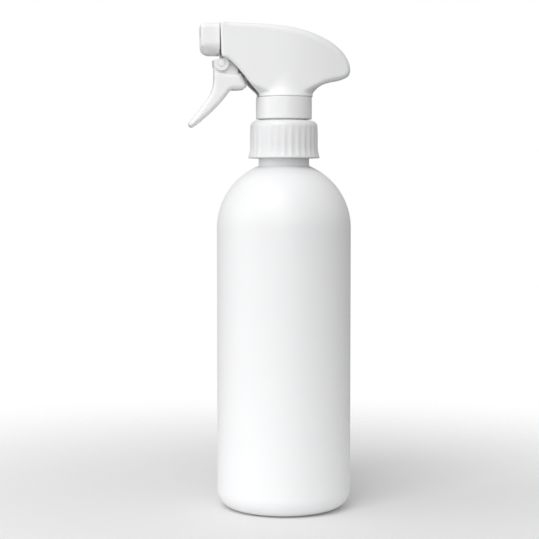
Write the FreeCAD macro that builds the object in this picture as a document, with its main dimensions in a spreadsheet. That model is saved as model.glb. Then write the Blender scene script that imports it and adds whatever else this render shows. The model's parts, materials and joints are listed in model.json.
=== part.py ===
"""Trigger spray bottle: blow-moulded bottle, screw closure and hand-pump head.

The frame's origin is the centre of the bottle's foot, +Z is up and the nozzle points along -X.
All sizes are in millimetres.  The driving dimensions are in the spreadsheet "Sizes", and every
outline and primitive is bound to its cells.
"""
import FreeCAD, Part
import math
import os

import PartDesign
import Sketcher

Vector = FreeCAD.Vector
Rotation = FreeCAD.Rotation

DRIVING = {
    # bottle
    "bottle_radius": 33.5,
    "bottle_wall": 1.0,
    "base_round": 9.5,
    "foot_inner": 20.0,
    "push_up": 3.0,
    "shoulder_height": 140.4,
    "neck_radius": 12.6,
    "neck_bore": 10.9,
    "neck_top": 190.0,
    "neck_root_round": 1.0,
    # 28 mm neck thread, 6 turns to the inch
    "thread_crest": 13.7,
    "thread_pitch": 4.233,
    "thread_turns": 1.5,
    "thread_start": 180.6,
    "thread_root_width": 2.2,
    "thread_tip_width": 1.0,
    # closure ring
    "ring_bottom": 175.2,
    "ring_top": 193.8,
    "ring_radius": 17.1,
    "ring_flare": 1.1,
    "flare_top": 182.0,
    "ring_shoulder": 3.2,
    "ring_skirt_wall": 1.2,
    "ring_inner_radius": 14.0,
    "ring_inner_wall": 1.0,
    "ring_inner_bottom": 176.4,
    "ring_roof": 1.5,
    "ring_hole": 11.9,
    "rib_depth": 0.35,
    "rib_angle": 7.0,
    "rib_count": 30,
    "rib_top": 190.3,
    # gasket and dip tube retainer
    "gasket_thickness": 0.95,
    "gasket_inner": 10.2,
    "gasket_outer": 13.0,
    "flange_bottom": 191.0,
    "flange_thickness": 1.2,
    "flange_radius": 13.2,
    "socket_depth": 7.0,
    "socket_wall": 1.2,
    "seat_top": 198.0,
    "seat_tube_radius": 3.0,
    "seat_bore": 1.2,
    "vent_radius": 0.8,
    "vent_distance": 6.6,
    # dip tube and filter
    "tube_radius": 3.0,
    "tube_bore": 2.2,
    "tube_bottom": 9.0,
    "filter_bottom": 6.0,
    "filter_top": 18.0,
    "filter_wall": 1.2,
    "filter_slot": 1.4,
    # sprayer body
    "collar_radius": 13.9,
    "collar_wall": 1.9,
    "collar_floor": 1.8,
    "collar_bottom": 194.5,
    "collar_top": 205.3,
    "collar_round": 0.5,
    "throat_radius": 11.7,
    "throat_wall": 1.4,
    "spigot_height": 1.4,
    "spigot_wall": 1.3,
    "riser_radius": 4.2,
    "riser_bore": 1.5,
    "barrel_height": 233.4,
    "barrel_radius": 4.5,
    "barrel_front": -39.3,
    "barrel_rear": 4.3,
    "barrel_bore": 2.4,
    "barrel_passage": 1.2,
    "valve_seat": -21.2,
    "plug_depth": 2.6,
    # trigger pivot
    "pivot_x": -31.6,
    "pivot_z": 221.6,
    "cheek_radius": 3.7,
    "cheek_inner": 5.7,
    "cheek_outer": 7.2,
    "trunnion_radius": 1.8,
    "running_gap": 0.06,
    # inlet and outlet valves
    "valve_ball": 1.75,
    "valve_lift": 1.0,
    "chamber_radius": 2.35,
    # pump
    "piston_angle": 39.7,
    "rod_end_x": -22.0,
    "rod_end_z": 212.8,
    "rod_end_radius": 2.2,
    "rod_radius": 1.6,
    "pump_start": 8.4,
    "pump_end": 20.5,
    "pump_bore": 5.0,
    "pump_wall": 1.2,
    "piston_start": 9.0,
    "piston_radius": 4.7,
    "piston_length": 3.0,
    "seal_root": 3.6,
    "seal_lip": 4.96,
    "seal_width": 1.3,
    "nose_radius": 2.4,
    "nose_length": 1.2,
    "port_radius": 1.0,
    "spring_radius": 3.5,
    "spring_wire": 0.3,
    "spring_turns": 5,
    # trigger
    "trigger_width": 14.0,
    "hub_width": 11.0,
    "channel_width": 10.4,
    "lever_edge": 1.3,
    "pad_gap": 0.1,
    "pad_thickness": 1.8,
    # nozzle
    "nozzle_rear": -32.4,
    "nozzle_front": -41.7,
    "nozzle_side": 15.7,
    "nozzle_corner": 4.0,
    "nozzle_wall": 1.4,
    "nozzle_face": 1.8,
    "nozzle_edge": 1.8,
    "sleeve_wall": 1.3,
    "insert_radius": 2.2,
    "orifice_radius": 0.35,
    "recess_radius": 3.4,
    "recess_depth": 0.6,
    "seal_ring": 0.45,
    "seal_place": -36.5,
    # shroud
    "shroud_front": -32.1,
    "shroud_half_width": 10.5,
    "shroud_wall": 1.4,
    "shroud_slot": 4.75,
}

doc = FreeCAD.newDocument("spray_bottle")
sheet = doc.addObject("Spreadsheet::Sheet", "Sizes")
for row, (alias, number) in enumerate(DRIVING.items(), 1):
    sheet.set(f"A{row}", alias)
    sheet.set(f"B{row}", str(number))
    sheet.setAlias(f"B{row}", alias)
doc.recompute()

finished = {}


# ---------------------------------------------------------------- sizes

class Size:
    """A number that also carries the sheet expression it is worked out from."""

    def __init__(self, value, text):
        self.value = float(value)
        self.text = text

    def joined(self, other, sign, value):
        return Size(value, f"({self.text} {sign} {as_size(other).text})")

    def __add__(self, other):
        return self.joined(other, "+", self.value + as_size(other).value)

    def __sub__(self, other):
        return self.joined(other, "-", self.value - as_size(other).value)

    def __mul__(self, other):
        return self.joined(other, "*", self.value * as_size(other).value)

    def __truediv__(self, other):
        return self.joined(other, "/", self.value / as_size(other).value)

    def __radd__(self, other):
        return as_size(other) + self

    def __rsub__(self, other):
        return as_size(other) - self

    def __rmul__(self, other):
        return as_size(other) * self

    def __neg__(self):
        return Size(-self.value, f"(0 - {self.text})")

    def root(self):
        return Size(math.sqrt(self.value), f"sqrt({self.text})")

    def cosine(self):
        return Size(math.cos(math.radians(self.value)), f"cos({self.text} * 1 deg)")

    def sine(self):
        return Size(math.sin(math.radians(self.value)), f"sin({self.text} * 1 deg)")


def as_size(number):
    return number if isinstance(number, Size) else Size(number, repr(float(number)))


def of(alias):
    """The size that a cell of the sheet holds."""
    return Size(DRIVING[alias], f"Sizes.{alias}")


def bind(item, prop, number, unit=""):
    """Set a property to a size and tie it to the sheet."""
    item.setExpression(prop, as_size(number).text + unit)


def place(item, at=(0, 0, 0), turn=None):
    """Put an object at a point, turned by (axis, degrees)."""
    if turn:
        item.Placement = FreeCAD.Placement(Vector(), Rotation(Vector(*turn[0]), turn[1].value))
        bind(item, "Placement.Rotation.Angle", turn[1], " * 1 deg")
    for letter, number in zip("xyz", at):
        bind(item, f"Placement.Base.{letter}", number)
    return item


# Directions that pieces with an axis of their own are turned to.
FORWARD = ((0, -1, 0), as_size(90))
ALONG_PISTON = ((0, 1, 0), 90 - of("piston_angle"))


# ---------------------------------------------------------------- sketches and features

def origin_item(body, role):
    return [item for item in body.Origin.OriginFeatures if item.Role == role][0]


def attach(sketch, body, plane, height=0):
    sketch.AttachmentSupport = [(origin_item(body, plane), "")]
    sketch.MapMode = "FlatFace"
    bind(sketch, "AttachmentOffset.Base.z", height)


def new_sketch(body, name, plane, height=0):
    """An empty sketch, on a plane of the body's origin or, with no body, upright on XZ."""
    if body:
        sketch = body.newObject("Sketcher::SketchObject", name)
        attach(sketch, body, plane, height)
        return sketch
    sketch = doc.addObject("Sketcher::SketchObject", name)
    if plane == "XZ_Plane":
        sketch.Placement = FreeCAD.Placement(Vector(), Rotation(Vector(1, 0, 0), 90))
    else:
        bind(sketch, "Placement.Base.z", height)
    return sketch


def arc_between(start, end, radius):
    """The short arc from start to end: a positive radius turns left, a negative one right."""
    run = end - start
    side = Vector(-run.y, run.x, 0).normalize()
    rise = math.sqrt(max(radius**2 - run.Length**2 / 4, 0))
    centre = (start + end) * 0.5 + side * (rise if radius > 0 else -rise)
    first, last = (start, end) if radius > 0 else (end, start)
    angles = [math.atan2(p.y - centre.y, p.x - centre.x) for p in (first, last)]
    circle = Part.Circle(centre, Vector(0, 0, 1), abs(radius))
    return Part.ArcOfCircle(circle, angles[0], angles[1])


def add_outline(sketch, points):
    """A closed outline.  (x, y) is reached by a line and (x, y, radius) by an arc."""
    ends = [Vector(as_size(p[0]).value, as_size(p[1]).value, 0) for p in points]
    edges = []
    for place_in_list, point in enumerate(points):
        start, end = ends[place_in_list - 1], ends[place_in_list]
        if len(point) == 2:
            edges.append((sketch.addGeometry(Part.LineSegment(start, end), False), 1, 2))
            continue
        radius = as_size(point[2])
        turn = (1, 2) if radius.value > 0 else (2, 1)
        edges.append((sketch.addGeometry(arc_between(start, end, radius.value), False), *turn))
        size = radius if radius.value > 0 else -radius
        number = sketch.addConstraint(Sketcher.Constraint("Radius", edges[-1][0], size.value))
        sketch.setExpression(f"Constraints[{number}]", size.text)
    for place_in_list, (edge, _, arrival) in enumerate(edges):
        following = edges[(place_in_list + 1) % len(edges)]
        sketch.addConstraint(
            Sketcher.Constraint("Coincident", edge, arrival, following[0], following[1])
        )
        for kind, number in zip(("DistanceX", "DistanceY"), points[place_in_list]):
            size = as_size(number)
            added = sketch.addConstraint(Sketcher.Constraint(kind, edge, arrival, size.value))
            sketch.setExpression(f"Constraints[{added}]", size.text)


def add_circle(sketch, x, y, radius):
    x, y, radius = as_size(x), as_size(y), as_size(radius)
    centre = Vector(x.value, y.value, 0)
    edge = sketch.addGeometry(Part.Circle(centre, Vector(0, 0, 1), radius.value), False)
    for kind, size in (("DistanceX", x), ("DistanceY", y)):
        added = sketch.addConstraint(Sketcher.Constraint(kind, edge, 3, size.value))
        sketch.setExpression(f"Constraints[{added}]", size.text)
    added = sketch.addConstraint(Sketcher.Constraint("Radius", edge, radius.value))
    sketch.setExpression(f"Constraints[{added}]", radius.text)


def outline(body, name, plane, points, height=0):
    sketch = new_sketch(body, name, plane, height)
    add_outline(sketch, points)
    return sketch


def circles(body, name, plane, rounds, height=0):
    sketch = new_sketch(body, name, plane, height)
    for x, y, radius in rounds:
        add_circle(sketch, x, y, radius)
    return sketch


def new_body(name):
    return doc.addObject("PartDesign::Body", name)


def turned(name, points):
    """A body of revolution about its own Z axis, from (radius, height) points."""
    body = new_body(name)
    profile = outline(body, name + "_profile", "XZ_Plane", points)
    feature = body.newObject("PartDesign::Revolution", name + "_turning")
    feature.Profile = profile
    feature.ReferenceAxis = (origin_item(body, "Z_Axis"), [""])
    feature.Angle = 360
    doc.recompute()
    return body


def pad(body, name, sketch, length, centred=False):
    feature = body.newObject("PartDesign::Pad", name)
    feature.Profile = sketch
    bind(feature, "Length", length)
    feature.Midplane = centred
    doc.recompute()
    return feature


def pocket(body, name, sketch, length, centred=False, reverse=False):
    """Cut a sketch into the body, and make sure that it did cut."""
    before = body.Shape.Volume
    feature = body.newObject("PartDesign::Pocket", name)
    feature.Profile = sketch
    bind(feature, "Length", length)
    feature.Midplane = centred
    feature.Reversed = reverse
    doc.recompute()
    if not body.Shape.Volume < before - 1e-6:
        raise RuntimeError(f"{name} cuts nothing")
    return feature


def soften(body, name, radius, wanted):
    """Round the edges of a body that the test wanted(edge) picks."""
    base = body.Tip
    edges = [f"Edge{n}" for n, edge in enumerate(base.Shape.Edges, 1) if wanted(edge)]
    feature = body.newObject("PartDesign::Fillet", name)
    feature.Base = (base, edges)
    bind(feature, "Radius", radius)
    doc.recompute()
    if "Invalid" in feature.State:
        raise RuntimeError(f"{name} can't round its edges")
    return feature


def helix(body, name, profile, pitch, turns):
    feature = body.newObject("PartDesign::AdditiveHelix", name)
    feature.Profile = profile
    feature.ReferenceAxis = (origin_item(body, "Z_Axis"), [""])
    feature.Mode = "pitch-turns-angle"
    bind(feature, "Pitch", pitch)
    bind(feature, "Turns", turns)
    doc.recompute()
    return feature


def cylinder(name, radius, length, at=(0, 0, 0), turn=None):
    item = doc.addObject("Part::Cylinder", name)
    bind(item, "Radius", radius)
    bind(item, "Height", length)
    return place(item, at, turn)


def cone(name, first, second, length, at=(0, 0, 0), turn=None):
    item = doc.addObject("Part::Cone", name)
    bind(item, "Radius1", first)
    bind(item, "Radius2", second)
    bind(item, "Height", length)
    return place(item, at, turn)


def box(name, low, high):
    item = doc.addObject("Part::Box", name)
    for prop, start, end in zip(("Length", "Width", "Height"), low, high):
        bind(item, prop, as_size(end) - start)
    return place(item, low)


def extruded(name, sketch, width):
    """A sketch drawn out both ways by half a width."""
    item = doc.addObject("Part::Extrusion", name)
    item.Base = sketch
    item.DirMode = "Normal"
    item.Solid = True
    item.Symmetric = True
    bind(item, "LengthFwd", width)
    return item


def joined(name, pieces):
    item = doc.addObject("Part::MultiFuse", name)
    item.Shapes = pieces
    item.Refine = True
    doc.recompute()
    return item


def common(name, pieces):
    item = doc.addObject("Part::MultiCommon", name)
    item.Shapes = pieces
    doc.recompute()
    return item


def cut(name, base, tools):
    """Cut tools from a base, and make sure that each of them did cut."""
    for number, tool in enumerate(tools, 1):
        item = doc.addObject("Part::Cut", f"{name}_{number}" if number < len(tools) else name)
        item.Base = base
        item.Tool = tool
        doc.recompute()
        if not item.Shape.Volume < base.Shape.Volume - 1e-6:
            raise RuntimeError(f"{tool.Name} cuts nothing from {base.Name}")
        base = item
    return base


def finish(label, item):
    """Give a finished piece its label, which names its file."""
    item.Label = label
    finished[label] = item


# ---------------------------------------------------------------- bottle and closure

def ridge(body, name, root, tip, middle):
    """The trapezium section of a thread ridge, from its root radius to its tip radius."""
    half_root = of("thread_root_width") / 2
    half_tip = of("thread_tip_width") / 2
    return outline(body, name, "XZ_Plane", [
        (root, middle - half_root),
        (tip, middle - half_tip),
        (tip, middle + half_tip),
        (root, middle + half_root),
    ])


def bottle():
    """A thin-walled bottle: pushed-up foot, straight side, hemispherical shoulder and neck."""
    radius, wall, low_round = of("bottle_radius"), of("bottle_wall"), of("base_round")
    shoulder, neck, bore = of("shoulder_height"), of("neck_radius"), of("neck_bore")
    foot, push = of("foot_inner"), of("push_up")
    dome = (foot * foot + push * push) / (2 * push)
    floor_edge = ((dome + wall) * (dome + wall) - (dome - push + wall) * (dome - push + wall)).root()
    root_round = of("neck_root_round")
    reach, side = radius + root_round, neck + root_round
    climb = (reach * reach - side * side).root()
    inside = radius - wall
    body = turned("Bottle", [
        (0, push),
        (foot, 0, -dome),
        (radius - low_round, 0),
        (radius, low_round, low_round),
        (radius, shoulder),
        (side * radius / reach, shoulder + climb * radius / reach, radius),
        (neck, shoulder + climb, -root_round),
        (neck, of("neck_top")),
        (bore, of("neck_top")),
        (bore, shoulder + (inside * inside - bore * bore).root()),
        (inside, shoulder, -inside),
        (inside, low_round),
        (radius - low_round, wall, wall - low_round),
        (floor_edge, wall),
        (0, push + wall, dome + wall),
    ])
    section = ridge(body, "Neck_ridge", neck - 0.4, of("thread_crest"), of("thread_start"))
    helix(body, "Neck_thread", section, of("thread_pitch"), of("thread_turns"))
    finish("bottle", body)


def closure_ring():
    """The screw cap: a threaded inner wall inside a ribbed skirt that flares at its foot."""
    rib = of("rib_depth")
    skirt = of("ring_radius") - rib
    flare, bottom, flare_top = of("ring_flare"), of("ring_bottom"), of("flare_top")
    rise = flare_top - bottom
    sweep = (rise * rise + flare * flare) / (2 * flare)
    shoulder, top, roof = of("ring_shoulder"), of("ring_top"), of("ring_roof")
    inner, inner_wall = of("ring_inner_radius"), of("ring_inner_wall")
    lining = skirt - of("ring_skirt_wall")
    body = turned("Ring", [
        (lining + flare, bottom, sweep),
        (skirt + flare, bottom),
        (skirt, flare_top, -sweep),
        (skirt, top - shoulder),
        (skirt - shoulder, top, shoulder),
        (of("ring_hole"), top),
        (of("ring_hole"), top - roof),
        (inner, top - roof),
        (inner, of("ring_inner_bottom")),
        (inner + inner_wall, of("ring_inner_bottom")),
        (inner + inner_wall, top - shoulder),
        (lining, top - shoulder),
        (lining, flare_top),
    ])
    rib_foot = bottom + 0.7
    start = flare * (flare_top - rib_foot) * (flare_top - rib_foot) / (rise * rise)
    profile = outline(body, "Rib_profile", "XZ_Plane", [
        (skirt - rib, rib_foot),
        (skirt + start + rib, rib_foot),
        (skirt + rib, flare_top, -sweep),
        (skirt + rib, of("rib_top") - rib),
        (skirt, of("rib_top"), rib),
        (skirt - rib, of("rib_top")),
    ])
    feature = body.newObject("PartDesign::Revolution", "Rib")
    feature.Profile = profile
    feature.ReferenceAxis = (origin_item(body, "Z_Axis"), [""])
    feature.Midplane = True
    bind(feature, "Angle", of("rib_angle"))
    doc.recompute()
    pattern = body.newObject("PartDesign::PolarPattern", "Ribs")
    pattern.Originals = [feature]
    pattern.Axis = (origin_item(body, "Z_Axis"), [""])
    pattern.Angle = 360
    bind(pattern, "Occurrences", of("rib_count"))
    body.Tip = pattern
    doc.recompute()
    middle = of("thread_start") - of("thread_pitch") / 2 + 0.5
    section = ridge(body, "Ring_ridge", inner + 0.4, of("neck_radius") + 0.35, middle)
    body.Tip = helix(body, "Ring_thread", section, of("thread_pitch"), of("thread_turns") - 0.25)
    doc.recompute()
    finish("closure_ring", body)


def neck_gasket():
    low = of("flange_bottom") - of("gasket_thickness")
    inner, outer = of("gasket_inner"), of("gasket_outer")
    finish("neck_gasket", turned("Gasket", [
        (inner, low), (outer, low), (outer, of("flange_bottom")), (inner, of("flange_bottom")),
    ]))


# ---------------------------------------------------------------- suction side

def tube_retainer():
    """A flange under the closure's roof: dip tube socket below, inlet valve seat above."""
    low = of("flange_bottom")
    high = low + of("flange_thickness")
    tube = of("tube_radius") + 0.02
    bore, seat, post = of("seat_bore"), of("seat_top"), of("seat_tube_radius")
    socket_top = low - 0.6
    plug = of("throat_radius") - of("throat_wall") - 0.1
    cone_width = 0.8
    body = turned("Retainer", [
        (bore, socket_top),
        (tube, socket_top),
        (tube, socket_top - of("socket_depth")),
        (tube + of("socket_wall"), socket_top - of("socket_depth")),
        (tube + of("socket_wall"), low),
        (of("flange_radius"), low),
        (of("flange_radius"), high),
        (plug, high),
        (plug, high + 2.0),
        (plug - 1.2, high + 2.0),
        (plug - 1.2, high),
        (post, high),
        (post, seat),
        (bore + cone_width, seat),
        (bore, seat - cone_width),
    ])
    vents = circles(body, "Retainer_vents", "XY_Plane", [
        (0, of("vent_distance"), of("vent_radius")),
        (0, -of("vent_distance"), of("vent_radius")),
    ])
    pocket(body, "Retainer_vent_holes", vents, high + 1, reverse=True)
    finish("tube_retainer", body)


def dip_tube():
    top = of("flange_bottom") - 0.65
    inner, outer, low = of("tube_bore"), of("tube_radius"), of("tube_bottom")
    finish("dip_tube", turned("Tube", [(inner, low), (outer, low), (outer, top), (inner, top)]))


def intake_filter():
    """A cup pushed over the tube's end, slotted where it stands proud of the tube."""
    inner = of("tube_radius") + 0.02
    outer = inner + of("filter_wall")
    low, top, tube_end = of("filter_bottom"), of("filter_top"), of("tube_bottom")
    cup = turned("Filter_cup", [
        (0, low),
        (outer - 0.8, low),
        (outer, low + 0.8, 0.8),
        (outer, top),
        (inner, top),
        (inner, tube_end - 0.05),
        (inner - 0.9, tube_end - 0.05),
        (inner - 0.9, low + 1.0),
        (0, low + 1.0),
    ])
    slot = of("filter_slot") / 2
    slots = [
        box("Filter_slot_x", (-outer - 1, -slot, low + 1.3), (outer + 1, slot, tube_end - 0.6)),
        box("Filter_slot_y", (-slot, -outer - 1, low + 1.3), (slot, outer + 1, tube_end - 0.6)),
    ]
    finish("intake_filter", cut("Filter", cup, slots))


def ball(label, at):
    item = doc.addObject("Part::Sphere", label.title())
    bind(item, "Radius", of("valve_ball"))
    place(item, at)
    finish(label, item)


def seated(cone_mouth):
    """How far a ball's centre stands past the narrow end of a 45 degree seat."""
    contact = of("valve_ball") / as_size(2).root()
    return contact * 2 - cone_mouth + 0.01


def valve_balls():
    inlet_cone = of("seat_top") - 0.8
    ball("inlet_ball", (0, 0, inlet_cone + seated(of("seat_bore"))))
    ball("outlet_ball", (of("valve_seat") - seated(of("barrel_passage")), 0, of("barrel_height")))


# ---------------------------------------------------------------- sprayer body

def along_piston(distance, across=0):
    """A point on the pump's axis, counted from the centre of the rod's end."""
    angle = of("piston_angle")
    return (
        of("rod_end_x") + angle.cosine() * distance + angle.sine() * across,
        0,
        of("rod_end_z") + angle.sine() * distance - angle.cosine() * across,
    )


def collar_and_throat():
    radius, low, high = of("collar_radius"), of("collar_bottom"), of("collar_top")
    edge, inside = of("collar_round"), of("collar_radius") - of("collar_wall")
    throat_foot = of("flange_bottom") + of("flange_thickness")
    spigot = inside + 0.3
    spigot_inner = spigot - of("spigot_wall")
    floor = low + of("collar_floor")
    throat_inner = of("throat_radius") - of("throat_wall")
    return turned("Collar", [
        (throat_inner, throat_foot),
        (of("throat_radius"), throat_foot),
        (of("throat_radius"), low),
        (radius - edge, low),
        (radius, low + edge, edge),
        (radius, high - edge),
        (radius - edge, high, edge),
        (spigot, high),
        (spigot, high + of("spigot_height")),
        (spigot_inner, high + of("spigot_height")),
        (spigot_inner, high - 1.8),
        (inside, high - 2.8),
        (inside, floor),
        (0, floor),
        (0, low),
        (throat_inner, low),
    ])


def cheeks():
    """Two ears that hang from a bridge round the barrel and carry the trigger's trunnions."""
    x, z, radius = of("pivot_x"), of("pivot_z"), of("cheek_radius")
    front = of("shroud_front") + of("shroud_wall") + 0.2
    bridge_low, bridge_high = z + 5.0, z + 14.0
    ear = outline(None, "Ear_outline", "XZ_Plane", [
        (x - radius, z),
        (x, z - radius, radius),
        (x + radius, z, radius),
        (x + radius, bridge_high),
        (front, bridge_high),
        (front, z + 2.1),
        (x - radius, z + 2.1),
    ])
    block = extruded("Ear_block", ear, of("cheek_outer") * 2)
    gap = box(
        "Ear_gap",
        (x - radius - 1, -of("cheek_inner"), z - radius - 1),
        (x + radius + 1, of("cheek_inner"), bridge_low),
    )
    return cut("Ears", block, [gap])


def sprayer_body():
    low, axis = of("collar_bottom"), of("barrel_height")
    front, rear = of("barrel_front"), of("barrel_rear")
    pump_outer = of("pump_bore") + of("pump_wall")
    pump_back = of("pump_end") + 1.5
    web_half = 0.8
    inside = of("collar_radius") - of("collar_wall")
    solid = joined("Body_solid", [
        collar_and_throat(),
        cylinder("Riser", of("riser_radius"), axis - low, (0, 0, low)),
        cylinder("Barrel", of("barrel_radius"), rear - front, (rear, 0, axis), FORWARD),
        cylinder(
            "Pump", pump_outer, pump_back - of("pump_start"),
            along_piston(of("pump_start")), ALONG_PISTON,
        ),
        box("Body_web", (-inside, -web_half, low + 1), (inside, web_half, of("collar_top"))),
        cheeks(),
    ])
    chamber_top = seated(of("seat_bore")) + of("valve_ball") + of("valve_lift") + 0.02
    stop = of("seat_top") - 0.8 + chamber_top
    bar_half = 0.4
    seat, cone_run = of("valve_seat"), of("barrel_bore") - of("barrel_passage")
    reach = of("barrel_radius") + 1
    ring_place, ring_half = of("seal_place"), of("seal_ring") + 0.05
    groove = cut("Groove", cylinder("Groove_disc", reach, ring_half * 2, (
        ring_place + ring_half, 0, axis), FORWARD), [
        cylinder("Groove_core", of("barrel_radius") - of("seal_ring") * 2 - 0.05, 5, (
            ring_place + 2.5, 0, axis), FORWARD),
    ])
    chamber = cut("Chamber", cylinder(
        "Chamber_space", of("chamber_radius"), stop + 0.8 - low, (0, 0, low)), [
        box("Chamber_bar", (-3, -bar_half, stop), (3, bar_half, stop + 0.79)),
    ])
    pump_port = along_piston(of("pump_end") - 0.3, 3.0)
    vent = of("vent_distance")
    pivot_hole = of("trunnion_radius") + of("running_gap")
    body = cut("Body", solid, [
        cylinder("Retainer_seat", of("seat_tube_radius") + 0.05, of("seat_top") + 0.05 - low, (0, 0, low)),
        chamber,
        cylinder("Riser_bore", of("riser_bore"), axis - stop, (0, 0, stop + 0.7)),
        cylinder("Barrel_passage", of("barrel_passage"), rear - seat, (rear, 0, axis), FORWARD),
        cone(
            "Outlet_seat", of("barrel_passage"), of("barrel_bore"), cone_run,
            (seat, 0, axis), FORWARD,
        ),
        cylinder(
            "Outlet_bore", of("barrel_bore"), seat - cone_run - front + 1,
            (seat - cone_run, 0, axis), FORWARD,
        ),
        cylinder(
            "Plug_bore", of("barrel_bore"), of("plug_depth") + 1, (rear + 1, 0, axis), FORWARD,
        ),
        cylinder(
            "Pump_bore", of("pump_bore"), of("pump_end") - of("pump_start") + 1,
            along_piston(of("pump_start") - 1), ALONG_PISTON,
        ),
        cylinder("Pump_port", of("port_radius"), -pump_port[0], (0, 0, pump_port[2]), FORWARD),
        cylinder(
            "Air_vent", 0.5, 4, along_piston(of("piston_start") + 1.5, of("pump_bore") - 1),
            ((0, 1, 0), 180 - of("piston_angle")),
        ),
        cylinder("Floor_vent_a", of("vent_radius"), 4, (0, vent, low - 1)),
        cylinder("Floor_vent_b", of("vent_radius"), 4, (0, -vent, low - 1)),
        groove,
        cylinder(
            "Pivot_holes", pivot_hole, of("cheek_outer") * 2 + 2,
            (of("pivot_x"), of("cheek_outer") + 1, of("pivot_z")), ((1, 0, 0), as_size(90)),
        ),
    ])
    finish("sprayer_body", body)


def barrel_plug():
    radius, depth = of("barrel_bore") - 0.02, of("plug_depth")
    plug = turned("Plug", [
        (0, -1.2),
        (radius + 1.0, -1.2),
        (radius + 1.4, -0.8, 0.4),
        (radius + 1.4, 0),
        (radius, 0),
        (radius, depth - 0.5),
        (radius - 0.4, depth - 0.1),
        (0, depth - 0.1),
    ])
    place(plug, (of("barrel_rear"), 0, of("barrel_height")), FORWARD)
    finish("barrel_plug", plug)


# ---------------------------------------------------------------- pump

def piston_rod():
    """A ball end, a stem and a piston with a groove for its seal."""
    end, stem, start = of("rod_end_radius"), of("rod_radius"), of("piston_start")
    radius, root = of("piston_radius"), of("seal_root")
    crown = start + of("piston_length")
    groove_low = start + (of("piston_length") - of("seal_width")) / 2 - 0.05
    groove_high = groove_low + of("seal_width") + 0.1
    nose, tip = of("nose_radius"), crown + of("nose_length")
    rod = turned("Rod", [
        (0, -end),
        (stem, (end * end - stem * stem).root(), end),
        (stem, start),
        (radius, start),
        (radius, groove_low),
        (root, groove_low),
        (root, groove_high),
        (radius, groove_high),
        (radius, crown),
        (nose, crown),
        (nose, tip - 0.4),
        (nose - 0.4, tip),
        (0, tip),
    ])
    place(rod, along_piston(0), ALONG_PISTON)
    finish("piston_rod", rod)


def piston_seal():
    width, root, lip = of("seal_width"), of("seal_root") + 0.02, of("seal_lip")
    low = of("piston_start") + (of("piston_length") - width) / 2
    seal = turned("Seal", [
        (root, low),
        (lip - 0.4, low),
        (lip, low + 0.3),
        (lip, low + width - 0.2),
        (lip - 0.3, low + width),
        (root, low + width),
    ])
    place(seal, along_piston(0), ALONG_PISTON)
    finish("piston_seal", seal)


def coil(label, wire, radius, start, length, turns, at, turn):
    """A compression spring between two flat faces that are length apart."""
    body = new_body(label.title())
    section = circles(body, label + "_wire", "XZ_Plane", [(radius, as_size(start) + wire, wire)])
    helix(body, label + "_coil", section, (length - wire * 2) / turns, turns)
    place(body, at, turn)
    finish(label, body)


def springs():
    crown = of("piston_start") + of("piston_length")
    wire = of("spring_wire")
    room = of("pump_end") - crown
    coil(
        "return_spring", wire, of("spring_radius"), crown, room, of("spring_turns"),
        along_piston(0), ALONG_PISTON,
    )
    ball_front = of("valve_seat") - seated(of("barrel_passage")) - of("valve_ball")
    spinner_back = of("barrel_front") + 5.6
    coil(
        "outlet_spring", as_size(0.2), as_size(1.25), 0, ball_front + 0.6 - spinner_back, as_size(7),
        (ball_front + 0.6, 0, of("barrel_height")), FORWARD,
    )


# ---------------------------------------------------------------- trigger

def from_pivot(points):
    """Outline points counted from the trigger's pivot."""
    x, z = of("pivot_x"), of("pivot_z")
    return [(x + p[0], z + p[1], *p[2:]) for p in points]


def pump_point(along, across):
    """A point counted from the pivot, along the pump's axis and square to it, downwards."""
    angle = of("piston_angle")
    return (
        angle.cosine() * along + angle.sine() * across,
        angle.sine() * along - angle.cosine() * across,
    )


def rod_end_along():
    """How far the rod's end stands from the pivot, measured along the pump's axis."""
    angle = of("piston_angle")
    run, rise = of("rod_end_x") - of("pivot_x"), of("rod_end_z") - of("pivot_z")
    return angle.cosine() * run + angle.sine() * rise


def is_lever_rim(edge):
    """True for the edges round the lever's two flat sides, below its top corners."""
    middle = edge.CenterOfMass
    at_side = abs(abs(middle.y) - DRIVING["trigger_width"] / 2) < 1e-3
    return at_side and middle.z < DRIVING["pivot_z"] - 7.0


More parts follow.
